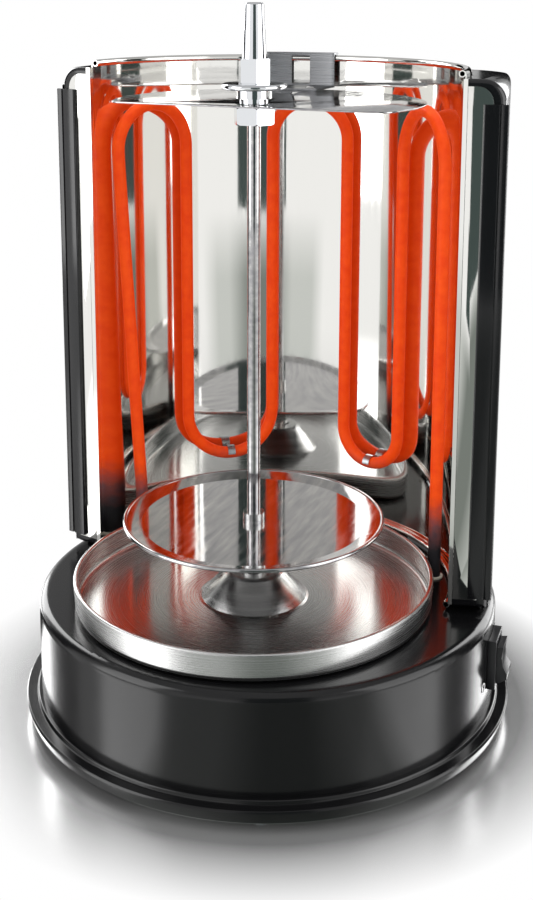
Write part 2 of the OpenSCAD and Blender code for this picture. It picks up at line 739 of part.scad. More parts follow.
// One section of the tube: a ring about p, square to t, starting towards b
function section(p, t, b) = [for (i = [0 : heater_sides - 1])
    p + heater_d / 2 * (cos(i * 360 / heater_sides) * b + sin(i * 360 / heater_sides) * cross(t, b))];

function bend_section(k, a) =
    let (along = bend_along(k), up = [0, 0, bend_dir(k)])
    section(leg_place(k) + bend_span(k) / 2 + [0, 0, bend_z(k)]
        + bend_r(k) * (sin(a) * up - cos(a) * along), sin(a) * along + cos(a) * up, bend_out(k));

// Section on the straight leg between bend k - 1 and bend k
function leg_section(k, share) =
    let (out = bend_out(k - 1) * (1 - share) + bend_out(k) * share)
    section(leg_place(k) + [0, 0, bend_z(k - 1) * (1 - share) + bend_z(k) * share],
        [0, 0, bend_dir(k)], out / norm(out));

// Section on the upright part of the first or the last leg
function foot_section(i, z) = section(foot_r[i] * unit(heater_feet[i]) + [0, 0, z],
    [0, 0, 1 - 2 * i], bend_out(4 * i));

// One unbroken tube: up from a foot, over three top bends and under two low ones, and down
module heater_tube() color(glow) {
    rings = concat(
        [foot_section(0, heater_foot_z), foot_section(0, heater_lean_z)],
        [for (k = [0 : 4], i = [(k > 0 ? 1 - leg_steps : 0) : bend_steps])
            i < 0 ? leg_section(k, 1 + i / leg_steps) : bend_section(k, i * 180 / bend_steps)],
        [foot_section(1, heater_lean_z), foot_section(1, heater_foot_z)]);
    n = heater_sides;
    last = len(rings) - 1;
    sides = [for (j = [0 : last - 1], i = [0 : n - 1])
        let (a = j * n + i, b = j * n + (i + 1) % n) [[a, a + n, b + n], [a, b + n, b]]];
    polyhedron([for (r = rings) each r], concat(
        [for (pair = sides) each pair],
        [[for (i = [0 : n - 1]) i]], [[for (i = [n - 1 : -1 : 0]) last * n + i]]));
}

module heater_bushings() color(ceramic) for (i = [0, 1]) rotate(heater_feet[i])
    translate([foot_r[i], 0, 0]) difference() {
        union() {
            translate([0, 0, deck_z - 8]) cylinder(r = bushing_r, h = 8);
            translate([0, 0, deck_z]) cylinder(r = bushing_r + 0.6, h = 1.2);
            translate([0, 0, deck_z - sheet - 4]) cylinder(r = bushing_r + 2, h = 2.5);
        }
        translate([0, 0, deck_z - 12]) cylinder(d = heater_d, h = 20);
    }

clip_w = 5;
clip_play = 0.7;

// Clips that hold the lower bends of the heater to the reflector
module heater_clips() color(zinc) for (k = [1, 3]) rotate(bend_angle(k)) {
    clip_r = heater_r * cos(bend_half(k));
    arm_from = (heater_d + clip_play) / 2 + 0.2;
    translate([clip_r, -clip_w / 2, heater_low_z]) rotate([-90, 0, 0]) difference() {
        cylinder(d = heater_d + 2.4, h = clip_w);
        translate([0, 0, -1]) cylinder(d = heater_d + clip_play, h = clip_w + 2);
        translate([-10, 0, -1]) cube([20, 10, clip_w + 2]);
    }
    translate([clip_r + arm_from, -clip_w / 2, heater_low_z])
        cube([skin_r - skin - clip_r - arm_from - 0.2, clip_w, 1]);
}

// ---------- electrics inside the base ----------

block_at = [70, 60, 30];

module terminal_block() color(ceramic) translate(block_at) difference() {
    cube([34, 20, 16]);
    for (x = [6, 17, 28]) {
        translate([x, 4.5, 6]) cylinder(d = 5, h = 20);
        translate([x, 15.5, 6]) cylinder(d = 5, h = 20);
        translate([x, -1, 4]) rotate([-90, 0, 0]) cylinder(d = 3.4, h = 30);
    }
}

module thermal_cutout() color(zinc) translate([60, 92, deck_z - sheet - 9]) {
    translate([0, 0, 5]) cylinder(r = 8, h = 4);
    cylinder(r = 7, h = 5);
    for (x = [-5, 5]) translate([x - 1.5, -0.4, -7]) cube([3, 0.8, 7]);
}

lead_r = 1.3;

// A lead inside the base, drawn as rods that meet at its corners
module lead(points) {
    for (i = [0 : len(points) - 2]) {
        d = points[i + 1] - points[i];
        translate(points[i]) rotate([0, acos(d[2] / norm(d)), atan2(d[1], d[0])])
            translate([0, 0, -lead_r * 0.6]) cylinder(r = lead_r, h = norm(d) + lead_r * 1.2, $fn = 8);
    }
}

module wiring() {
    foot = [for (i = [0, 1]) foot_r[i] * unit(heater_feet[i]) + [0, 0, heater_foot_z - 1]];
    color("#b5382c") lead([foot[0], foot[0] - [0, 0, 20], [87, 50, 34], [87, 59, 34]]);
    color("#b5382c") lead([foot[1], foot[1] - [0, 0, 30], [-90, 40, 26], [-20, 90, 26],
        [76, 90, 34], [76, 81, 34]]);
    color("#2b2b2d") lead([[87, 81, 34], [87, 96, 34], [66, 96, 50], [65, 92, 56.5]]);
    color("#2b2b2d") lead([[55, 92, 56.5], [52, 100, 50], [10, 96, 22], [-24, 74, 24],
        [-28.5, 56.8, 24]]);
    color("#3c5f9a") lead([[98, 81, 34], [98, 84, 28], [40, 84, 22], [-12, 72, 22],
        [-20.5, 54.7, 22]]);
    color("#3c5f9a") lead([[98, 59, 34], [98, 50, 34], [113, 16, 40], [120.4, 6.3, 44]]);
}

// ---------- switch ----------

bezel_d = 4.5;
rocker_w = 16;
rocker_h = 24;
pivot_d = 1.5;                      // the pivot lies this far outside the wall
mark_h = 6;
mark_t = 0.25;
mark_line = 0.8;
mark_turn = 7.5;
mark_gap = 0.02;                    // gap between the printed marks and the wall

module switch_bezel() color(black) at_switch() difference() {
    translate([-1.5, -switch_w / 2, -switch_h / 2]) cube([bezel_d + 1.5, switch_w, switch_h]);
    translate([-5, -rocker_w / 2 - 0.5, -rocker_h / 2 - 0.8])
        cube([20, rocker_w + 1, rocker_h + 1.6]);
    translate([-base_r, 0, -switch_h]) cylinder(r = base_r, h = 2 * switch_h, $fn = 180);
}

module switch_body() color(black) at_switch() difference() {
    translate([-19, -(switch_w - 3.2) / 2, -(switch_h - 3.2) / 2])
        cube([18.5, switch_w - 3.2, switch_h - 3.2]);
    translate([-10, -rocker_w / 2 - 0.5, -rocker_h / 2 - 0.8])
        cube([20, rocker_w + 1, rocker_h + 1.6]);
}

// Rocker with a hollow face: its lower end stands proud when the upper end is pressed in
module switch_rocker() color("#26272b") at_switch() translate([pivot_d, 0, 0])
    rotate([0, rocker_tip, 0]) difference() {
        intersection() {
            rotate([90, 0, 0]) translate([0, 0, -rocker_w / 2]) linear_extrude(rocker_w)
                polygon([[-4.5, -9.5], [5.5, -rocker_h / 2], [10.6, -7.6], [10.2, -4.4],
                    [7, -0.5], [5.4, 5], [5.2, rocker_h / 2], [-4.5, 9.5]]);
            rotate([90, 0, 0]) translate([0, 0, -20]) cylinder(r = 13.4, h = 40);
        }
        rotate([90, 0, 0]) translate([0, 0, -30]) cylinder(r = 1.5, h = 60);
    }

// Plain 0 and I beside the switch
module switch_marks() color("white") {
    rotate(switch_angle - mark_turn) translate([base_r + mark_gap, 0, switch_z - 11])
        rotate([90, 0, 90]) linear_extrude(mark_t) difference() {
            circle(mark_h / 2);
            circle(mark_h / 2 - mark_line);
        }
    rotate(switch_angle + mark_turn)
        translate([base_r + mark_gap, -mark_line / 2, switch_z + 11 - mark_h / 2])
            cube([mark_t, mark_line, mark_h]);
}

bottom_pan();
rubber_feet();
pan_screws();
base_housing();
inlet_gland();
earth_stud();
drip_tray();
tray_cone();
drive_bush();
bush_nut();
thrust_washer();
drive_shaft();
output_gear();
idler_gear();
idler_pin();
gearbox_lower_plate();
gearbox_upper_plate();
gearbox_spacers();
hanger_posts();
gearbox_screws();
motor_can();
motor_rotor();
motor_pinion();
spindle_hub();
skewer_plate();
plate_collar();
spindle_shaft();
clamp_nut();
shaft_collar();
washer_disc();
hex_shoulder();
lift_handle();
holding_plate();
rim_hook();
hook_rivets();
reflector();
reflector_brackets();
bracket_screws();
wing_plate_left();
wing_plate_right();
side_casing_left();
side_casing_right();
grip_bar_left();
grip_bar_right();
grip_screws();
casing_screws();
heater_tube();
heater_bushings();
heater_clips();
terminal_block();
thermal_cutout();
wiring();
switch_bezel();
switch_body();
switch_rocker();
switch_marks();
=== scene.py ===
# Electric skewer grill: the finishes, the floor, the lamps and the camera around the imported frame.
# Metres, in the frame's own axes: the front of the grill is -Y and it stands on Z = 0.
import json
from math import cos, pi, radians, sin

import bmesh
import bpy
from mathutils import Matrix, Vector

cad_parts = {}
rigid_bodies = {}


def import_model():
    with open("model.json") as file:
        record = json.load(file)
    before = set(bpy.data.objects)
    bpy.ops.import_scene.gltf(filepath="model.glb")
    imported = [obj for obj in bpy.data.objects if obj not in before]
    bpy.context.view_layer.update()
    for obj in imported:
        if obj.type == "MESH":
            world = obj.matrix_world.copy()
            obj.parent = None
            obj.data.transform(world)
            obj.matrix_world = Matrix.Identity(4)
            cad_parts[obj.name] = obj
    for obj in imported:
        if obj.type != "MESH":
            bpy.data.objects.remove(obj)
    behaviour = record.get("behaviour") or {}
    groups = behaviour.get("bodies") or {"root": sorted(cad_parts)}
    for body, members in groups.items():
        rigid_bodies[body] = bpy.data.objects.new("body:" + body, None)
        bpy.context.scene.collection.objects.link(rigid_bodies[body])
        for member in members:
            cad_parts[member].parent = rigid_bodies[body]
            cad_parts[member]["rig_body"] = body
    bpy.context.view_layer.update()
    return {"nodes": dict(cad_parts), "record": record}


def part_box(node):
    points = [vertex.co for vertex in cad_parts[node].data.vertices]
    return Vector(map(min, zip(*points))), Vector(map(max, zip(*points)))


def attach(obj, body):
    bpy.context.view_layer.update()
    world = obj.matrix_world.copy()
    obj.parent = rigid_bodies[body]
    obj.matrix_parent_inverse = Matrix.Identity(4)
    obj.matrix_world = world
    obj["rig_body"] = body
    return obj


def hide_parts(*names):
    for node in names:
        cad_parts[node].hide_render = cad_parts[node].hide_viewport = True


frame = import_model()
scene = bpy.context.scene
mm = 0.001
print("frame loaded:", len(frame["nodes"]), "nodes")

spindleAt = sum(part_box("spindle_shaft"), Vector()) / 2  # middle of the skewer's shaft


def hexColour(code):  # sRGB hex to the linear values that the shaders take
    channels = [int(code[i:i + 2], 16) / 255 for i in (1, 3, 5)]
    linear = [c / 12.92 if c <= 0.04045 else ((c + 0.055) / 1.055) ** 2.4 for c in channels]
    return (*linear, 1)


def addNode(tree, kind, inputs=None, **settings):
    # a node with its own settings; an input is a value, or another node's output to link from
    node = tree.nodes.new("ShaderNode" + kind)
    for key, value in settings.items():
        setattr(node, key, value)
    for key, value in (inputs or {}).items():
        if isinstance(value, bpy.types.NodeSocket):
            tree.links.new(value, node.inputs[key])
        else:
            node.inputs[key].default_value = value
    return node


def newMaterial(name, **sockets):  # a Principled shader with its constants on its own sockets
    material = bpy.data.materials.new(name)
    material.use_nodes = True
    shader = material.node_tree.nodes["Principled BSDF"]
    for socket, value in sockets.items():
        shader.inputs[socket.replace("_", " ")].default_value = value
    return material, material.node_tree, shader


def noise(tree, size, detail=2.0, stretch=(1, 1, 1)):
    # noise whose grains are about size metres across, drawn out by stretch
    place = addNode(tree, "TexCoord").outputs["Object"]
    scaled = addNode(tree, "Mapping", {"Vector": place, "Scale": [1 / s for s in stretch]})
    return addNode(tree, "TexNoise", {"Vector": scaled.outputs[0], "Scale": 1 / size,
                                      "Detail": detail}).outputs["Fac"]


def spread(tree, value, low, high, fromLow=0.3, fromHigh=0.7):
    # the value drawn out to run from low to high; noise keeps mostly between 0.3 and 0.7
    return addNode(tree, "MapRange", {"Value": value, "From Min": fromLow, "From Max": fromHigh,
                                      "To Min": low, "To Max": high}).outputs["Result"]


def blendColours(tree, share, first, second):
    return addNode(tree, "Mix", {"Factor": share, "A": hexColour(first), "B": hexColour(second)},
                   data_type="RGBA").outputs["Result"]


def bumpFrom(tree, shader, height, depth):
    bump = addNode(tree, "Bump", {"Height": height, "Distance": depth})
    tree.links.new(bump.outputs["Normal"], shader.inputs["Normal"])


def ringDistance(tree):
    # distance from the turning axis plus height, so a lathe's or a brush's rings run round it
    place = addNode(tree, "TexCoord").outputs["Object"]
    moved = addNode(tree, "VectorMath", {0: place, 1: (spindleAt.x, spindleAt.y, 0)},
                    operation="SUBTRACT")
    parts = addNode(tree, "SeparateXYZ", {0: moved.outputs[0]})
    flat = addNode(tree, "CombineXYZ", {0: parts.outputs[0], 1: parts.outputs[1]}).outputs[0]
    radius = addNode(tree, "VectorMath", {0: flat}, operation="LENGTH").outputs["Value"]
    along = addNode(tree, "Math", {0: radius, 1: parts.outputs[2]}, operation="ADD")
    tangent = addNode(tree, "VectorMath", {0: (0, 0, 1), 1: flat}, operation="CROSS_PRODUCT")
    return along.outputs[0], tangent.outputs[0]


def blackEnamel():
    # stoved black enamel on pressed steel: deep gloss, a faint orange peel in its reflections
    material, tree, shader = newMaterial("stovedBlackEnamel", Base_Color=hexColour("#0d0d0e"),
                                         IOR=1.5, Specular_IOR_Level=0.42)
    bumpFrom(tree, shader, noise(tree, 2.4 * mm, 1.0), 0.006 * mm)
    tree.links.new(spread(tree, noise(tree, 30 * mm), 0.15, 0.2), shader.inputs["Roughness"])
    return material


def glossBlackPlastic():
    # injection moulded black ABS from a polished tool: gloss with soft sink waves
    material, tree, shader = newMaterial("mouldedBlackAbs", Base_Color=hexColour("#0e0e10"),
                                         IOR=1.53)
    bumpFrom(tree, shader, noise(tree, 14 * mm, 1.0), 0.02 * mm)
    tree.links.new(spread(tree, noise(tree, 22 * mm), 0.12, 0.18), shader.inputs["Roughness"])
    return material


def satinBlackPlastic():
    # black ABS from a finely sparked tool: satin, with a grain of about 0.4 mm
    material, tree, shader = newMaterial("grainedBlackAbs", Base_Color=hexColour("#151517"),
                                         IOR=1.53, Roughness=0.34)
    bumpFrom(tree, shader, noise(tree, 0.4 * mm, 2.0), 0.012 * mm)
    return material


def mirrorSteel():
    # bright annealed stainless sheet, buffed: clear reflections drawn out along the rolling
    material, tree, shader = newMaterial("buffedStainlessSheet", Base_Color=hexColour("#eeede9"),
                                         Metallic=1.0)
    bumpFrom(tree, shader, noise(tree, 26 * mm, 1.0, (1, 1, 4)), 0.035 * mm)
    tree.links.new(spread(tree, noise(tree, 3 * mm, 2.0, (1, 1, 12)), 0.03, 0.07),
                   shader.inputs["Roughness"])
    return material


def polishedSteel():
    # polished stainless plate: clear reflections and fine wiping marks
    material, tree, shader = newMaterial("polishedStainless", Metallic=1.0)
    wipes = noise(tree, 4 * mm, 4.0, (1, 6, 1))
    tree.links.new(blendColours(tree, spread(tree, wipes, 0, 1), "#a4a3a6", "#c4c3c2"),
                   shader.inputs["Base Color"])
    tree.links.new(spread(tree, wipes, 0.05, 0.14), shader.inputs["Roughness"])
    bumpFrom(tree, shader, noise(tree, 30 * mm, 1.0), 0.05 * mm)
    return material


def brushedSteel(name, lineSize, roughness, anisotropy, tones=("#b9b9b8", "#d0d0cf")):
    # stainless brushed in rings: fine lines, which draw every highlight out across them
    material, tree, shader = newMaterial(name, Metallic=1.0, Anisotropic=anisotropy)
    along, tangent = ringDistance(tree)
    lines = addNode(tree, "TexNoise", {"W": along, "Scale": 1 / lineSize, "Detail": 3.0},
                    noise_dimensions="1D").outputs["Fac"]
    tree.links.new(blendColours(tree, spread(tree, lines, 0, 1), *tones),
                   shader.inputs["Base Color"])
    tree.links.new(spread(tree, lines, *roughness), shader.inputs["Roughness"])
    tree.links.new(tangent, shader.inputs["Tangent"])
    bumpFrom(tree, shader, lines, 0.006 * mm)
    return material


def chromePlate():
    # bright chrome over polished steel: near mirror, slightly blue
    material, tree, shader = newMaterial("brightChrome", Base_Color=hexColour("#e3e5e8"),
                                         Metallic=1.0)
    tree.links.new(spread(tree, noise(tree, 5 * mm, 2.0), 0.03, 0.07), shader.inputs["Roughness"])
    return material


def zincPlate():
    # clear passivated zinc: pale grey, a fine spangle
    material, tree, shader = newMaterial("zincPlatedSteel", Metallic=1.0)
    tree.links.new(blendColours(tree, noise(tree, 1.6 * mm, 2.0), "#9fa4a8", "#c3c7ca"),
                   shader.inputs["Base Color"])
    tree.links.new(spread(tree, noise(tree, 2 * mm), 0.26, 0.38), shader.inputs["Roughness"])
    return material


def machinedBrass():
    # turned and hobbed brass: yellow, with tool lines
    material, tree, shader = newMaterial("machinedBrass", Metallic=1.0)
    lines = noise(tree, 0.6 * mm, 2.0, (6, 6, 1))
    tree.links.new(blendColours(tree, lines, "#b48f48", "#d8b36a"), shader.inputs["Base Color"])
    tree.links.new(spread(tree, lines, 0.2, 0.32), shader.inputs["Roughness"])
    return material


heaterLook = {"glow": "#f0400a", "strength": 0.45,
              "cold": "#2b2a2d", "blued": "#6a4a50", "sheath": "#b5340a", "scaled": "#c4480f",
              "coldTop": 98 * mm, "hotFrom": 134 * mm,  # heights between which it grows hot
              "wander": 8 * mm,                         # how far its mottle moves those heights
              "bluedAt": 0.45}                          # share of the way up that is blue grey


def heaterSheath():
    # oxidised alloy sheath at full heat: orange red with scaled patches, which fades through
    # blue grey to the black cold ends just above the deck
    material, tree, shader = newMaterial("glowingHeaterSheath", Roughness=0.5, IOR=1.45,
                                         Specular_IOR_Level=0.2,
                                         Emission_Color=hexColour(heaterLook["glow"]))
    place = addNode(tree, "TexCoord").outputs["Object"]
    height = addNode(tree, "SeparateXYZ", {0: place}).outputs["Z"]
    mottle = noise(tree, 4 * mm, 3.0)
    moved = addNode(tree, "Math", {0: mottle, 1: heaterLook["wander"], 2: height},
                    operation="MULTIPLY_ADD")
    heat = spread(tree, moved.outputs[0], 0, 1, heaterLook["coldTop"], heaterLook["hotFrom"])
    ramp = addNode(tree, "ValToRGB", {"Fac": heat})
    stops = ramp.color_ramp.elements
    stops[0].color = hexColour(heaterLook["cold"])
    stops[1].color = hexColour(heaterLook["sheath"])
    stops.new(heaterLook["bluedAt"]).color = hexColour(heaterLook["blued"])
    patches = addNode(tree, "Math", {0: spread(tree, noise(tree, 7 * mm, 2.0), 0, 1), 1: heat},
                      operation="MULTIPLY")
    tone = addNode(tree, "Mix", {"Factor": patches.outputs[0], "A": ramp.outputs["Color"],
                                 "B": hexColour(heaterLook["scaled"])}, data_type="RGBA")
    tree.links.new(tone.outputs["Result"], shader.inputs["Base Color"])
    tree.links.new(spread(tree, heat, 0.0, heaterLook["strength"], heaterLook["bluedAt"], 1.0),
                   shader.inputs["Emission Strength"])
    bumpFrom(tree, shader, noise(tree, 0.8 * mm, 3.0), 0.02 * mm)
    return material


def plainStuff(name, first, second, roughness, grain, bumpDepth):
    # a dull material: two close tones in grains, with a bump of the same size
    material, tree, shader = newMaterial(name, Roughness=roughness, IOR=1.5)
    grains = noise(tree, grain, 3.0)
    tree.links.new(blendColours(tree, grains, first, second), shader.inputs["Base Color"])
    bumpFrom(tree, shader, grains, bumpDepth)
    return material


materials = {
    "black_enamel": blackEnamel(),
    "black_plastic": glossBlackPlastic(),
    "switch_plastic": satinBlackPlastic(),
    "foot_rubber": plainStuff("mouldedRubber", "#1a1a1a", "#232323", 0.75, 0.7 * mm, 0.03 * mm),
    "gland_rubber": plainStuff("mouldedPolyamide", "#131314", "#1b1b1c", 0.5, 0.5 * mm, 0.02 * mm),
    "mirror_steel": mirrorSteel(),
    "polished_steel": polishedSteel(),
    "brushed_steel": brushedSteel("brushedStainless", 0.5 * mm, (0.18, 0.3), 0.7),
    "chrome_plate": chromePlate(),
    "turned_steel": brushedSteel("turnedStainless", 0.35 * mm, (0.14, 0.26), 0.8),
    "zinc_steel": zincPlate(),
    "brass": machinedBrass(),
    "heater_sheath": heaterSheath(),
    "ceramic": plainStuff("unglazedSteatite", "#ddd7c6", "#eee9dc", 0.6, 1.2 * mm, 0.02 * mm),
    "nylon": plainStuff("naturalNylon", "#dedbd0", "#ebe8de", 0.45, 1.5 * mm, 0.01 * mm),
    "magnet": plainStuff("sinteredFerrite", "#3a3733", "#4a4640", 0.6, 0.8 * mm, 0.03 * mm),
    "lead_sleeve": plainStuff("siliconeSleeve", "#8e241c", "#a8352b", 0.5, 0.9 * mm, 0.03 * mm),
    "mark_white": plainStuff("padPrintedInk", "#e6e6e6", "#f4f4f4", 0.5, 0.4 * mm, 0.003 * mm),
}

slots = {part["node"]: part["material_slot"] for part in frame["record"]["subparts"]}
for nodeName, slotName in slots.items():
    node = frame["nodes"][nodeName]
    node.data.materials.clear()
    node.data.materials.append(materials[slotName])
print("materials made:", len(materials))


heater = {"diameter": 8 * mm, "ringRadius": 111 * mm,
          "middle": 94, "legs": (-70, -33.6, -10.5, 16.1, 47, 76.5),     # degrees from the middle
          "feet": (24, 164), "footRadius": (105 * mm, 106.5 * mm),       # right and left
          "leanFrom": 112 * mm, "bottomBends": 122 * mm,                 # heights
          "arcSteps": 28, "sides": 8}


def heaterPlace(degrees, radius):
    return Vector((cos(radians(degrees)), sin(radians(degrees)), 0)) * radius


def heaterRoute():
    # up from the right foot, over three top bends and under two low ones, down to the left foot
    low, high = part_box("heater_tube")
    topZ, bottomZ = high.z - heater["diameter"] / 2, heater["bottomBends"]
    radii = [heater["footRadius"][0]] + [heater["ringRadius"]] * 5
    legs = [heaterPlace(heater["middle"] + leg, radius)
            for leg, radius in zip(heater["legs"], radii)]
    feet = [heaterPlace(foot, radius)
            for foot, radius in zip(heater["feet"], heater["footRadius"])]
    points = [feet[0] + Vector((0, 0, z)) for z in (low.z, heater["leanFrom"])]
    for k, (first, second) in enumerate(zip(legs, legs[1:])):
        bend = (second - first).length / 2
        along = (second - first).normalized()
        up = 1 if k % 2 == 0 else -1
        centre = (first + second) / 2
        centre.z = topZ - bend if up > 0 else bottomZ + bend
        for step in range(heater["arcSteps"] + 1):
            angle = pi * step / heater["arcSteps"]
            rise = sin(angle) * up * Vector((0, 0, 1))
            points.append(centre + bend * (rise - cos(angle) * along))
    return points + [feet[1] + Vector((0, 0, z)) for z in (heater["leanFrom"], low.z)]


def buildHeater():
    curve = bpy.data.curves.new("heaterLoops", "CURVE")
    curve.dimensions = "3D"
    curve.bevel_depth = heater["diameter"] / 2
    curve.bevel_resolution = heater["sides"]
    curve.use_fill_caps = True
    spline = curve.splines.new("POLY")
    route = heaterRoute()
    spline.points.add(len(route) - 1)
    for point, place in zip(spline.points, route):
        point.co = (*place, 1)
    holder = bpy.data.objects.new("heaterRoute", curve)
    scene.collection.objects.link(holder)
    shown = holder.evaluated_get(bpy.context.evaluated_depsgraph_get())
    mesh = bpy.data.meshes.new_from_object(shown)
    bpy.data.objects.remove(holder)
    mesh.shade_smooth()
    piece = bpy.data.objects.new("heaterTube", mesh)
    scene.collection.objects.link(piece)
    mesh.materials.clear()
    mesh.materials.append(materials["heater_sheath"])
    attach(piece, "grill")
    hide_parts("heater_tube")


buildHeater()
print("heater made")


easing = {"sharpFrom": 30, "flatBelow": 0.4, "smoothBelow": 32,  # degrees between two faces
          "joinFirst": 0.01 * mm, "joinLast": 0.005 * mm,        # closer vertices become one
          "segments": 3}

casing = {"sweep": 13,          # degrees that the sides are turned back
          "rimFrom": 121 * mm,  # the rim lies further out than this
          "facing": 0.95}       # cosine between the front and a face that counts as part of it


def sheetEdge(edge):  # an edge at which two faces meet sharply
    return len(edge.link_faces) == 2 and edge.calc_face_angle(0.0) > radians(easing["sharpFrom"])


def casingRim(edge):
    # the edge between the casing's front face and its roof, side and floor
    middle = (edge.verts[0].co + edge.verts[1].co) / 2
    side = 1 if middle.x > 0 else -1
    sweep = radians(casing["sweep"])
    front = Vector((side * sin(sweep), -cos(sweep), 0))
    return (sheetEdge(edge) and edge.is_convex and abs(middle.x) > casing["rimFrom"]
            and any(face.normal.dot(front) > casing["facing"] for face in edge.link_faces))


def easedCopy(nodeName, pieceName, width, wanted=sheetEdge, material=None):
    # the node's own shape with its sharp edges rounded over, so that they catch the light
    node = frame["nodes"][nodeName]
    bm = bmesh.new()
    bm.from_mesh(node.data)
    bmesh.ops.remove_doubles(bm, verts=bm.verts, dist=easing["joinFirst"])
    bmesh.ops.dissolve_limit(bm, angle_limit=radians(easing["flatBelow"]),
                             verts=bm.verts, edges=bm.edges)
    bmesh.ops.bevel(bm, geom=[edge for edge in bm.edges if wanted(edge)], offset=width,
                    segments=easing["segments"], profile=0.5, affect="EDGES", material=-1,
                    clamp_overlap=wanted is sheetEdge)
    bmesh.ops.remove_doubles(bm, verts=bm.verts, dist=easing["joinLast"])
    mesh = bpy.data.meshes.new(pieceName)
    bm.to_mesh(mesh)
    bm.free()
    mesh.shade_smooth()
    mesh.set_sharp_from_angle(angle=radians(easing["smoothBelow"]))
    mesh.materials.append(material or materials[slots[nodeName]])
    piece = bpy.data.objects.new(pieceName, mesh)
    scene.collection.objects.link(piece)
    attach(piece, node["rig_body"])
    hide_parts(nodeName)


# the hook gets a copy of the tray's brushed steel in darker tones, which is painted shade, and with
# rougher, less drawn-out lines
shadedHookSteel = brushedSteel("shadedHookStainless", 0.6 * mm, (0.24, 0.36), 0.5,
                            tones=("#77787b", "#97989a"))

easedPieces = [
    # node, piece, width of the rounding, which edges, its own material
    ("grip_bar_left", "gripBarLeft", 0.45 * mm),
    ("grip_bar_right", "gripBarRight", 0.45 * mm),
    ("side_casing_left", "sideCasingLeft", 3 * mm, casingRim),
    ("side_casing_right", "sideCasingRight", 3 * mm, casingRim),
    ("wing_plate_left", "wingPlateLeft", 0.35 * mm),
    ("wing_plate_right", "wingPlateRight", 0.35 * mm),
    ("holding_plate", "holdingPlate", 0.35 * mm),
    ("rim_hook", "rimHook", 0.4 * mm, sheetEdge, shadedHookSteel),
    ("switch_bezel", "switchBezel", 0.6 * mm),
    ("switch_rocker", "switchRocker", 0.5 * mm),
    ("bottom_pan", "bottomPan", 0.6 * mm),
]
for easedPiece in easedPieces:
    easedCopy(*easedPiece)
print("edges eased:", len(easedPieces))


studio = {"floor": "#f4f4f4", "sheen": 0.85, "floorRoughness": 0.22,
          "floorRadius": 6.0, "floorSides": 96,
          "seenFade": (0.16, 0.212), "mirroredFade": (0.3, 0.7),  # where the floor turns white
          "paintedReflectionFade": (1.0, 1.6),                                # where its painted reflection patches end
          "world": 0.35,
          "dimRoom": 0.32, "dimRoomFrom": (0.12, 0.5),  # the white that is left overhead
          "dimBack": 0.4, "dimBackFrom": (0.0, 0.7)}    # and behind the grill

# painted reflections: grey patches of floor that only gloss and mirrors see
paintedReflectionPatches = [
    # azimuths where it starts, is full, fades and ends, tone, greatest share
    ((-16, -8, 56, 66), "#c4c8c4", 0.8),
    ((6, 20, 34, 48), "#7d837e", 1.0),
    ((-100, -97, -90, -84), "#202020", 1.0),
    ((112, 117, 126, 130), "#181818", 1.0),
]


def times(tree, first, second):
    return addNode(tree, "Math", {0: first, 1: second}, operation="MULTIPLY").outputs[0]


def whiteWhereSeen(tree, ordinary, white, seenShare, mirroredShare):
    # cameras see plain white by the first share, mirrors and glass by the second, and
    # everything else sees the ordinary shader
    rays = addNode(tree, "LightPath").outputs
    mirrored = addNode(tree, "Math", {0: rays["Is Glossy Ray"], 1: rays["Is Transmission Ray"]},
                       operation="MAXIMUM").outputs[0]
    share = addNode(tree, "Math", {0: times(tree, rays["Is Camera Ray"], seenShare),
                                   1: times(tree, mirrored, mirroredShare)}, operation="MAXIMUM")
    return addNode(tree, "MixShader", {0: share.outputs[0], 1: ordinary, 2: white}).outputs[0]


def buildRoom():
    world = bpy.data.worlds.new("paleStudio")
    scene.world = world
    world.use_nodes = True
    tree = world.node_tree
    dim = addNode(tree, "Background", {"Color": (1, 1, 1, 1), "Strength": studio["world"]})
    white = addNode(tree, "Background", {"Color": (1, 1, 1, 1), "Strength": 1.0})
    # mirrors see a white room at the grill's own height, dimmer overhead and behind the grill
    direction = addNode(tree, "SeparateXYZ", {0: addNode(tree, "TexCoord").outputs["Generated"]})
    high = spread(tree, direction.outputs["Z"], 1.0, studio["dimRoom"], *studio["dimRoomFrom"])
    behind = spread(tree, direction.outputs["Y"], 1.0, studio["dimBack"], *studio["dimBackFrom"])
    surface = whiteWhereSeen(tree, dim.outputs[0], white.outputs[0], 1.0,
                             times(tree, high, behind))
    tree.links.new(surface, tree.nodes["World Output"].inputs["Surface"])


def addPaintedReflections(tree, surface, place, away):
    # painted reflections: only gloss and mirrors see these darker patches of floor, which emit their
    # own grey tones
    glossy = addNode(tree, "LightPath").outputs["Is Glossy Ray"]
    parts = addNode(tree, "SeparateXYZ", {0: place}).outputs
    turn = addNode(tree, "Math", {0: parts["X"], 1: times(tree, parts["Y"], -1.0)},
                   operation="ARCTAN2").outputs[0]
    near = times(tree, spread(tree, away, 1.0, 0.0, *studio["paintedReflectionFade"]), glossy)
    for (start, full, fade, end), tone, most in paintedReflectionPatches:
        rise = spread(tree, turn, 0.0, most, radians(start), radians(full))
        fall = spread(tree, turn, 1.0, 0.0, radians(fade), radians(end))
        paintedTone = addNode(tree, "Emission", {"Color": hexColour(tone), "Strength": 1.0})
        surface = addNode(tree, "MixShader", {0: times(tree, times(tree, rise, fall), near),
                                              1: surface, 2: paintedTone.outputs[0]}).outputs[0]
    return surface


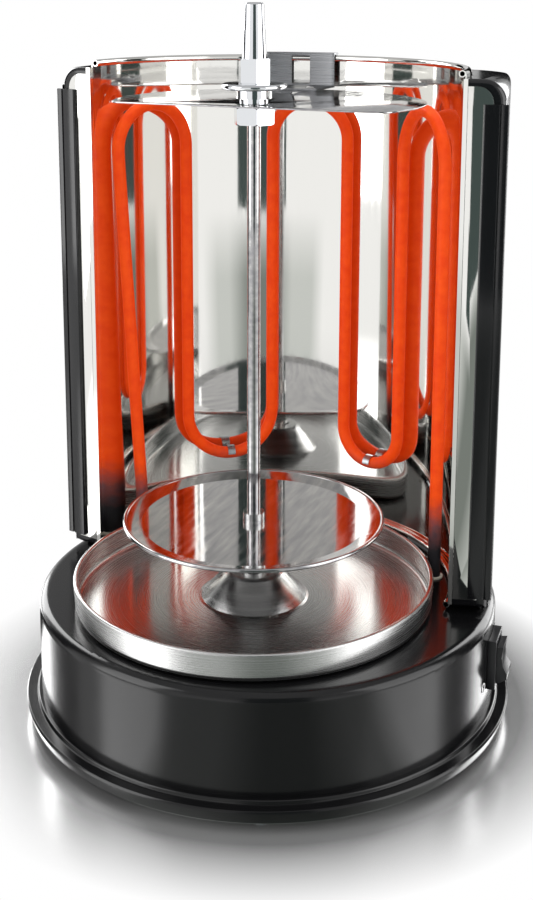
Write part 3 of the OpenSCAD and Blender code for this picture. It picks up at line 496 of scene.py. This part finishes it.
def buildFloor():
    bm = bmesh.new()
    bmesh.ops.create_circle(bm, cap_ends=True, segments=studio["floorSides"],
                            radius=studio["floorRadius"])
    mesh = bpy.data.meshes.new("paleFloor")
    bm.to_mesh(mesh)
    bm.free()
    floor = bpy.data.objects.new("paleFloor", mesh)
    scene.collection.objects.link(floor)
    # a pale table with a sheen, in which the base is softly mirrored
    material, tree, shader = newMaterial("paleTable", Base_Color=hexColour(studio["floor"]),
                                         Metallic=studio["sheen"],
                                         Roughness=studio["floorRoughness"])
    mesh.materials.append(material)
    place = addNode(tree, "TexCoord").outputs["Object"]
    away = addNode(tree, "VectorMath", {0: place}, operation="LENGTH").outputs["Value"]
    glow = addNode(tree, "Emission", {"Color": (1, 1, 1, 1), "Strength": 1.0})
    surface = whiteWhereSeen(tree, shader.outputs[0], glow.outputs[0],
                             spread(tree, away, 0.0, 1.0, *studio["seenFade"]),
                             spread(tree, away, 0.0, 1.0, *studio["mirroredFade"]))
    tree.links.new(addPaintedReflections(tree, surface, place, away),
                   tree.nodes["Material Output"].inputs["Surface"])


def around(azimuth, distance, height):
    # a place seen from the grill, with azimuths counted from the front to the right
    turn = radians(azimuth)
    return Vector((sin(turn) * distance, -cos(turn) * distance, height))


lamps = [
    # name, place, size (wide, high), power in watts, seen in reflections
    ("softboxLeft", around(-45, 1.3, 0.62), (0.8, 1.2), 9, True),
    ("softboxRight", around(88, 1.3, 0.62), (1.0, 1.2), 9, True),
    ("stripBackLeft", around(-118, 1.0, 0.5), (0.4, 1.0), 7, True),
    ("stripBackRight", around(150, 1.1, 0.5), (0.5, 1.0), 8, True),
    ("overhead", Vector((0, 0.1, 1.8)), (1.6, 1.4), 26, False),
    ("fill", around(10, 1.8, 1.1), (1.4, 1.0), 14, False),
]

paintedReflectionCards = [
    # name, place, size (wide, high), tone: cards that only mirrors and gloss see, painting dark and
    # grey reflections
    ("cardBackLeft", around(-152, 0.9, 0.42), (0.26, 0.5), "#0a0a0a"),
    ("cardBackRight", around(178, 0.9, 0.42), (0.22, 0.5), "#0a0a0a"),
    ("cardLeft", around(-88, 1.0, 0.5), (0.36, 1.0), "#0a0a0a"),
    ("cardRight", around(122, 1.0, 0.5), (0.3, 1.0), "#0a0a0a"),
    ("cardFront", around(26, 1.6, 0.75), (0.9, 1.5), "#46514f"),
]


lampsFace = Vector((0, 0, 0.18))  # over the middle of the base, a little under half the height


def facing(place, target=lampsFace):
    return (target - place).to_track_quat("-Z", "Y").to_euler()


def buildLamps():
    for name, place, (wide, high), power, mirrored in lamps:
        lamp = bpy.data.lights.new(name, "AREA")
        lamp.shape = "RECTANGLE"
        lamp.size, lamp.size_y, lamp.energy = wide, high, power
        holder = bpy.data.objects.new(name, lamp)
        scene.collection.objects.link(holder)
        holder.location, holder.rotation_euler = place, facing(place)
        holder.visible_glossy = mirrored


def finishCard(bm, name, tone):
    # a painted reflection: an emitting sheet that shows its tone alone, whatever light falls on it
    mesh = bpy.data.meshes.new(name)
    bm.to_mesh(mesh)
    bm.free()
    material, tree, shader = newMaterial(name + "PaintedReflectionSheet", Base_Color=(0, 0, 0, 1), Roughness=1.0,
                                         Specular_IOR_Level=0.0, Emission_Color=hexColour(tone),
                                         Emission_Strength=1.0)
    mesh.materials.append(material)
    card = bpy.data.objects.new(name, mesh)
    scene.collection.objects.link(card)
    card.visible_camera = card.visible_diffuse = card.visible_shadow = False


def buildCards():
    for name, place, (wide, high), tone in paintedReflectionCards:
        bm = bmesh.new()
        bmesh.ops.create_grid(bm, x_segments=1, y_segments=1, size=0.5)  # one metre square
        bmesh.ops.scale(bm, vec=(wide, high, 1), verts=bm.verts)
        turn = facing(place, Vector((0, 0, place.z))).to_matrix().to_4x4()
        bmesh.ops.transform(bm, matrix=Matrix.Translation(place) @ turn, verts=bm.verts)
        finishCard(bm, name, tone)


view = {"place": (0.2902, -0.7413, 0.4444), "turn": 20.96, "down": 11.44, "roll": 0.25,
        "lens": 54.31, "sensor": 36, "shift": (-0.0134, -0.2170), "clip": (0.05, 50)}


def buildCamera():
    camera = bpy.data.cameras.new("camera")
    camera.lens, camera.sensor_width = view["lens"], view["sensor"]
    camera.shift_x, camera.shift_y = view["shift"]
    camera.clip_start, camera.clip_end = view["clip"]
    holder = bpy.data.objects.new("camera", camera)
    scene.collection.objects.link(holder)
    holder.location = view["place"]
    turn = Matrix.Rotation(radians(view["turn"]), 3, "Z")
    tilt = Matrix.Rotation(radians(90 - view["down"]), 3, "X")
    roll = Matrix.Rotation(radians(view["roll"]), 3, "Z")
    holder.rotation_euler = (turn @ tilt @ roll).to_euler()
    scene.camera = holder


buildRoom()
buildFloor()
buildLamps()
buildCards()
buildCamera()
scene.view_settings.view_transform = "Standard"
print("studio made")

bpy.context.view_layer.update()
